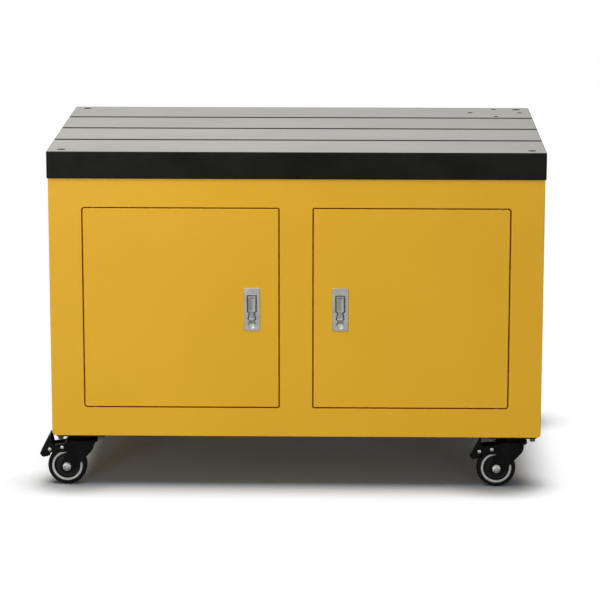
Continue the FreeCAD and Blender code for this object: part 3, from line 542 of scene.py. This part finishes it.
def grid_quads(rows, columns, closed_rows):
    """Quads over a grid whose columns close on themselves, and its rows too if asked."""
    last = rows if closed_rows else rows - 1
    row, column = np.meshgrid(np.arange(last), np.arange(columns), indexing="ij")
    below = (row + 1) % rows
    beside = (column + 1) % columns
    quads = [row * columns + column, row * columns + beside, below * columns + beside,
             below * columns + column]
    return np.stack(quads, -1).reshape(-1, 4)


def swept(radius, height, closed):
    """Points at (radius cos a, radius sin a, height), where radius is rows by angles."""
    angle = np.linspace(0, 2 * np.pi, radius.shape[1], endpoint=False)
    level = np.broadcast_to(height[:, None], radius.shape)
    points = np.stack([radius * np.cos(angle), radius * np.sin(angle), level], -1)
    return points.reshape(-1, 3), grid_quads(*radius.shape, closed)


def turned(profile, steps=96):
    """A closed profile of (radius, height) points, swept once round the axis."""
    radius = np.repeat(profile[:, :1], steps, axis=1)
    return swept(radius, profile[:, 1], True)


def stood(part, spot, along):
    """A part whose own Z lies along a direction square to X, moved to its spot."""
    points, quads = part
    side = np.array([1.0, 0.0, 0.0])
    basis = np.stack([side, np.cross(along, side), along])
    return points @ basis + spot, quads


def gathered(parts):
    """Several parts as one set of points and quads."""
    starts = np.cumsum([0] + [len(points) for points, _ in parts])
    points = np.concatenate([points for points, _ in parts])
    quads = np.concatenate([quads + start for (_, quads), start in zip(parts, starts)])
    return points, quads


def make_piece(name, part, body, slot, stands_for, angle=32.0):
    """Welds seams and poles, turns the faces outwards, and hands the piece to its body."""
    points, quads = part
    mesh = bpy.data.meshes.new(name)
    mesh.from_pydata(points.tolist(), [], quads.tolist())
    work = bmesh.new()
    work.from_mesh(mesh)
    bmesh.ops.remove_doubles(work, verts=work.verts, dist=1e-6)
    bmesh.ops.recalc_face_normals(work, faces=work.faces)
    work.to_mesh(mesh)
    work.free()
    mesh.shade_smooth()
    mesh.set_sharp_from_angle(angle=math.radians(angle))
    mesh.materials.append(FINISH[slot])
    piece = bpy.data.objects.new(name, mesh)
    bpy.context.scene.collection.objects.link(piece)
    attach(piece, body)
    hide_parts(*stands_for)
    print(name, len(mesh.polygons), "faces on", body)
    return piece


def note_radius(piece, middle):
    """Keeps each point's distance from the axle, which lies along Y, as the UV map's height."""
    mesh = piece.data
    points = np.zeros(len(mesh.vertices) * 3)
    mesh.vertices.foreach_get("co", points)
    points = points.reshape(-1, 3)
    radius = np.hypot(points[:, 0] - middle[0], points[:, 2] - middle[2])
    corner = np.zeros(len(mesh.loops), int)
    mesh.loops.foreach_get("vertex_index", corner)
    layer = mesh.uv_layers.new(name="radius")
    pairs = np.stack([np.full(len(corner), 0.5), radius[corner]], -1)
    layer.data.foreach_set("uv", pairs.ravel())


def middle_of(node):
    """The middle of a node's box."""
    low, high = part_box(node)
    return (np.array(low) + np.array(high)) / 2


# %% [markdown]
# The wheels are what the table stands on, and two of them face the camera. On the real ones a
# light plastic rim stands out as a ring, the web lies deep and dark behind it, and the rubber
# has rounded shoulders, a fine line where the two halves of its mould met and two thin ridges
# on its wall. A profile holds all of this, so the tyre and the core are two closed lines.

# %% Tyres
TYRE_HALF = 16.0
TYRE_RADIUS = 48.0
RIM_RADIUS = 37.5


def tyre_profile():
    """Half of the section goes up the wall, over two ridges and the shoulder, to the mould line."""
    wall = TYRE_HALF - 0.35
    half = [(RIM_RADIUS, wall), (40.0, wall), (40.3, TYRE_HALF), (40.9, TYRE_HALF), (41.2, wall),
            (TYRE_RADIUS - 0.2, wall), (TYRE_RADIUS - 0.15, 0.4), (TYRE_RADIUS, 0.2)]
    radii = [0.3, 0.1, 0.1, 0.1, 0.1, 6.0, 0.05, 0.05]
    corners = half + [(r, -h) for r, h in reversed(half)]
    return rounded_profile(corners, radii + radii[::-1]) * MM


for corner in CORNERS:
    tyre = stood(turned(tyre_profile(), 128), middle_of(f"{corner}_tyre"), np.array([0, -1.0, 0]))
    make_piece(f"{corner}_moulded_tyre", tyre, f"{corner}_wheel", "tyre_rubber", [f"{corner}_tyre"])


# %% Wheel cores
def core_profile():
    """From the bore over the hub, down to the web, and up again over the bevelled rim."""
    half = [(5.05, 20.0), (12.0, 20.0), (13.0, 6.0), (30.6, 4.5), (32.1, 15.2), (RIM_RADIUS, 15.2)]
    radii = [0.4, 1.2, 2.5, 2.5, 0.9, 0.5]
    corners = half + [(r, -h) for r, h in reversed(half)]
    return rounded_profile(corners, radii + radii[::-1]) * MM


for corner in CORNERS:
    hub = middle_of(f"{corner}_wheel_core")
    core = stood(turned(core_profile(), 128), hub, np.array([0, -1.0, 0]))
    piece = make_piece(f"{corner}_moulded_core", core, f"{corner}_wheel", "wheel_core",
                       [f"{corner}_wheel_core"])
    note_radius(piece, hub)


# %% [markdown]
# Nuts and bolt heads are hexagons that a lathe has passed over: a cone takes off the corners
# and leaves a curved edge on each flat. The formula says it in one line: at each height and
# angle, the radius is the smaller of the hexagon's and the cone's.

# %% Nuts and bolt heads
def hexagon_radius(flat, angle):
    """The distance to a hexagon's edge: the flat's over the cosine of the turn from its middle."""
    return flat / np.cos((angle + np.pi / 6) % (np.pi / 3) - np.pi / 6)


def hex_nut(across, height, both_ends=True, steps=72):
    """A solid nut from 0 to its height, chamfered at its far end, or at both."""
    angle = np.linspace(0, 2 * np.pi, steps, endpoint=False)
    flat = across / 2
    near = np.array([0.0, 0.0, 0.02, 0.05, 0.09, 0.14])
    level = np.concatenate([near, 1 - near[::-1]]) * height
    from_end = np.minimum(level, height - level) if both_ends else height - level
    cone = 0.97 * flat + 1.7 * from_end
    cone[[0, -1]] = 0.0
    radius = np.minimum(hexagon_radius(flat, angle)[None], cone[:, None])
    return swept(radius, level, False)


def disc(profile, steps=64):
    """A solid of revolution whose (radius, height) rows start and end on the axis."""
    rows = np.array(profile, float) * MM
    return swept(np.repeat(rows[:, :1], steps, axis=1), rows[:, 1], False)


def dome(radius, height, rows=7):
    """A low rivet head: radius cos t, height sin t, on a short straight foot."""
    turn = np.linspace(0, np.pi / 2, rows)
    rise = 0.15 * height + 0.85 * height * np.sin(turn)
    return [(0, 0), (radius, 0)] + list(zip(radius * np.cos(turn), rise))


AXLE_REACH = 32.3
LEG_OUTER = 23.8
WASHER = 1.5
AXLE_NUT_ACROSS = 18.0
AXLE_NUT_HEIGHT = 6.0
for corner in CORNERS:
    hub = middle_of(f"{corner}_axle")
    parts = [stood(disc([(0, -24), (5, -24), (5, 24), (0, 24)]), hub, np.array([0, -1.0, 0]))]
    for way in (-1.0, 1.0):
        along = np.array([0, way, 0])
        washer = disc([(0, 0), (10.0, 0), (10.3, 0.3), (10.3, 1.2), (10.0, WASHER), (0, WASHER)])
        parts.append(stood(washer, hub + along * LEG_OUTER * MM, along))
        nut = hex_nut(AXLE_NUT_ACROSS * MM, AXLE_NUT_HEIGHT * MM, False)
        parts.append(stood(nut, hub + along * (LEG_OUTER + WASHER) * MM, along))
        tip = disc([(0, 0), (5, 0), (5, 0.5), (4.2, 1.0), (0, 1.0)])
        parts.append(stood(tip, hub + along * (AXLE_REACH - 1.0) * MM, along))
    make_piece(f"{corner}_axle_bolt", gathered(parts), f"{corner}_fork", "zinc_steel",
               [f"{corner}_axle"])


# %% [markdown]
# The casters hang on sixteen bolts, and the pedal turns on a riveted pin. Only the heads at the
# front catch the light, but every head is made, because a table is also seen from below. The
# bolts' zinc is darkened as painted shade, for the shade under the cabinet.

# %% Caster bolts
UP = np.array([0.0, 0.0, 1.0])
BOLT_X = 50.0 * MM
BOLT_Y = 32.0 * MM
BOLT_ACROSS = 13.0 * MM
BOLT_HEAD = 8.0 * MM
BOLT_NUT = 6.5 * MM


def caster_bolt(spot, foot, top):
    """A hexagon head under the plate, a shank through it, and a nut on the floor deck."""
    head = stood(hex_nut(BOLT_ACROSS, BOLT_HEAD, False), spot + UP * foot, -UP)
    reach = (top - foot) / MM
    shank = disc([(0, 0), (3.95, 0), (3.95, reach), (0, reach)])
    nut = hex_nut(BOLT_ACROSS, BOLT_NUT)
    return gathered([head, stood(shank, spot + UP * foot, UP), stood(nut, spot + UP * top, UP)])


bolts = []
low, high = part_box("caster_bolts")
for corner in CORNERS:
    plate_middle = middle_of(f"{corner}_plate") * [1, 1, 0]
    for sx in (-BOLT_X, BOLT_X):
        for sy in (-BOLT_Y, BOLT_Y):
            spot = plate_middle + [sx, sy, 0]
            bolts.append(caster_bolt(spot, low[2] + BOLT_HEAD, high[2] - BOLT_NUT))
piece = make_piece("caster_hex_bolts", gathered(bolts), "cabinet", "zinc_steel", ["caster_bolts"])
# The bolts under the cabinet get zinc darkened as painted shade.
piece.data.materials[0] = FINISH["shade_darkened_zinc"]


# %% Brake pins and rivets
PIVOT = np.array([-42.0, 0.0, 43.96]) * MM
RIVET = np.array([-11.5, 0.0, 48.46]) * MM
CHEEK_OUTER = 26.8 * MM
RIVET_HEAD = (4.6, 1.6)
for corner in CORNERS:
    hub = middle_of(f"{corner}_axle")
    way = np.sign(middle_of(f"{corner}_plate")[0] - hub[0])
    facing = np.array([way, 1.0, 1.0])
    parts = [stood(disc([(0, -27), (3, -27), (3, 27), (0, 27)]), hub + PIVOT * facing,
                   np.array([0, -1.0, 0]))]
    for side in (-1.0, 1.0):
        out = np.array([0, side, 0])
        head = disc(dome(*RIVET_HEAD))
        parts.append(stood(head, hub + PIVOT * facing + out * CHEEK_OUTER, out))
        parts.append(stood(head, hub + RIVET * facing + out * LEG_OUTER * MM, out))
    make_piece(f"{corner}_rivets", gathered(parts), f"{corner}_fork", "zinc_steel",
               [f"{corner}_brake_pins"])


# %% [markdown]
# Socket cap screws hold the plate down. The head's side is knurled so that fingers can start
# it, its rim is chamfered, and a hexagon socket takes the key. All of it is one grid again:
# rows that go out from the socket's floor, over the rim and down the side, where the radius
# dips between the knurls.

# %% Socket cap screws
KNURLS = 36
SCREW_NUT = 18.0
SCREW_NUT_HEIGHT = 10.8


def cap_screw(length, steps=144):
    """Rows of (radius, height), each plain, hexagonal, or dented by the size of sin(n a)."""
    angle = np.linspace(0, 2 * np.pi, steps, endpoint=False)
    plain = np.ones(steps)
    key = hexagon_radius(1.0, angle)
    knurl = 1 - 0.03 * np.abs(np.sin(KNURLS / 2 * angle))
    rows = [(0, -6, plain), (4.9, -6, key), (5, -0.6, key), (6.2, 0, plain), (8, 0, plain),
            (8.7, -0.7, plain), (9, -1.3, knurl), (9, -11.4, knurl), (8.5, -12, plain),
            (6, -12, plain), (6, -length, plain), (0, -length, plain)]
    radius = np.array([size * shape for size, _, shape in rows]) * MM
    height = np.array([level for _, level, _ in rows], float) * MM
    return swept(radius, height, False)


low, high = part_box("plate_screws")
screw_x = high[0] - SCREW_NUT / 2 * MM
screw_y = high[1] - SCREW_NUT / math.sqrt(3) * MM
screws = []
for sx in (-screw_x, screw_x):
    for sy in (-screw_y, screw_y):
        spot = np.array([sx, sy, high[2]])
        screws.append(stood(cap_screw((high[2] - low[2]) / MM - 0.5), spot, UP))
        nut = hex_nut(SCREW_NUT * MM, SCREW_NUT_HEIGHT * MM)
        screws.append(stood(nut, np.array([sx, sy, low[2]]), UP))
make_piece("socket_cap_screws", gathered(screws), "cabinet", "dark_screws", ["plate_screws"])


# %% [markdown]
# The pull lever is the piece that a hand touches. On the real latch it is a die casting: a
# barrel round its pin, a broad arm with a shallow dish down its face, a waist, and a nose that
# flares out and stands up as a lip for the finger. It could be modelled as a subdivided box,
# but its sections are known: at each height the arm has a width, a front and a back, and its
# section is a rectangle with rounded corners. So the lever is that section carried from the
# barrel down to the nose. Its zinc is darker than the housing's.

# %% Pull levers
LEVER_LIP = 1.8
BARREL = 5.0
LEVER_THICK = 6.0
EDGE_ROUND = 0.7


def lever_section(corner_steps=5, face_steps=15):
    """Columns of a rounded rectangle: share of the half width, of the edge radius sideways, 0 or 1
    for front or back, share of the edge radius inwards, and share of the dish."""
    turn = np.linspace(0, np.pi / 2, corner_steps)
    across = np.linspace(-1, 1, face_steps)
    zero = np.zeros(face_steps)
    dish = np.clip(1 - (1.2 * across) ** 2, 0, 1)
    face = np.stack([across, zero, zero, zero, dish], -1)
    back = np.stack([-across, zero, zero + 1, zero, zero], -1)
    one = np.ones(corner_steps)
    right_front = np.stack([one, np.sin(turn), 0 * one, 1 - np.cos(turn), 0 * one], -1)
    right_back = np.stack([one, np.cos(turn), one, np.sin(turn) - 1, 0 * one], -1)
    left_back = right_back[::-1] * [-1, -1, 1, 1, 1]
    left_front = right_front[::-1] * [-1, -1, 1, 1, 1]
    return np.concatenate([face, right_front, right_back, back, left_back, left_front])


def pull_lever(node):
    """The section carried down the lever: widths and faces are straight runs, then averaged."""
    low, high = (np.array(corner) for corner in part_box(node))
    length = (high[2] - low[2]) / MM
    nose = BARREL - length
    over_barrel = BARREL * np.cos(np.linspace(0, np.pi / 2, 12))
    down = np.concatenate([over_barrel, np.arange(-0.5, nose, -0.5), [nose, nose]])
    width = np.interp(-down, [-BARREL, 35, 38.5, 53, -nose], [9.2, 9.2, 5.0, 8.0, 4.4])
    soft = np.convolve(np.pad(width, 2, mode="edge"), np.ones(5) / 5, mode="valid")
    width = np.where(down < -30, soft, width)
    round_end = np.sqrt(np.clip(BARREL ** 2 - down ** 2, 0, None))
    front = np.where(down > 0, BARREL - round_end, 0.0)
    back = np.where(down > 0, BARREL + round_end, np.maximum(LEVER_THICK, BARREL + round_end))
    front -= np.interp(-down, [52.2, 53.6], [0, LEVER_LIP])
    dish = np.interp(-down, [0, 3, 32, 36], [0, 1, 1, 0])
    width[-1] = 0.0
    middle = (front[-1] + back[-1]) / 2
    front[-1] = back[-1] = middle
    edge = np.minimum(EDGE_ROUND, np.minimum(width, (back - front) / 2))
    share, side, rear, inwards, hollow = lever_section().T
    x = np.outer(width - edge, share) + np.outer(edge, side)
    y = np.outer(front, 1 - rear) + np.outer(back, rear) + np.outer(edge, inwards)
    y += np.outer(dish, hollow)
    z = np.repeat(down[:, None], len(share), axis=1)
    points = np.stack([x, y, z], -1).reshape(-1, 3) * MM
    spot = np.array([(low[0] + high[0]) / 2, low[1] + LEVER_LIP * MM, high[2] - BARREL * MM])
    return points + spot, grid_quads(len(down), len(share), False)


for side in SIDES:
    piece = make_piece(f"{side}_cast_lever", pull_lever(f"{side}_latch_lever"), f"{side}_lever",
                       "latch_metal", [f"{side}_latch_lever"], 40.0)
    piece.data.materials[0] = FINISH["darker_lever_zinc"]
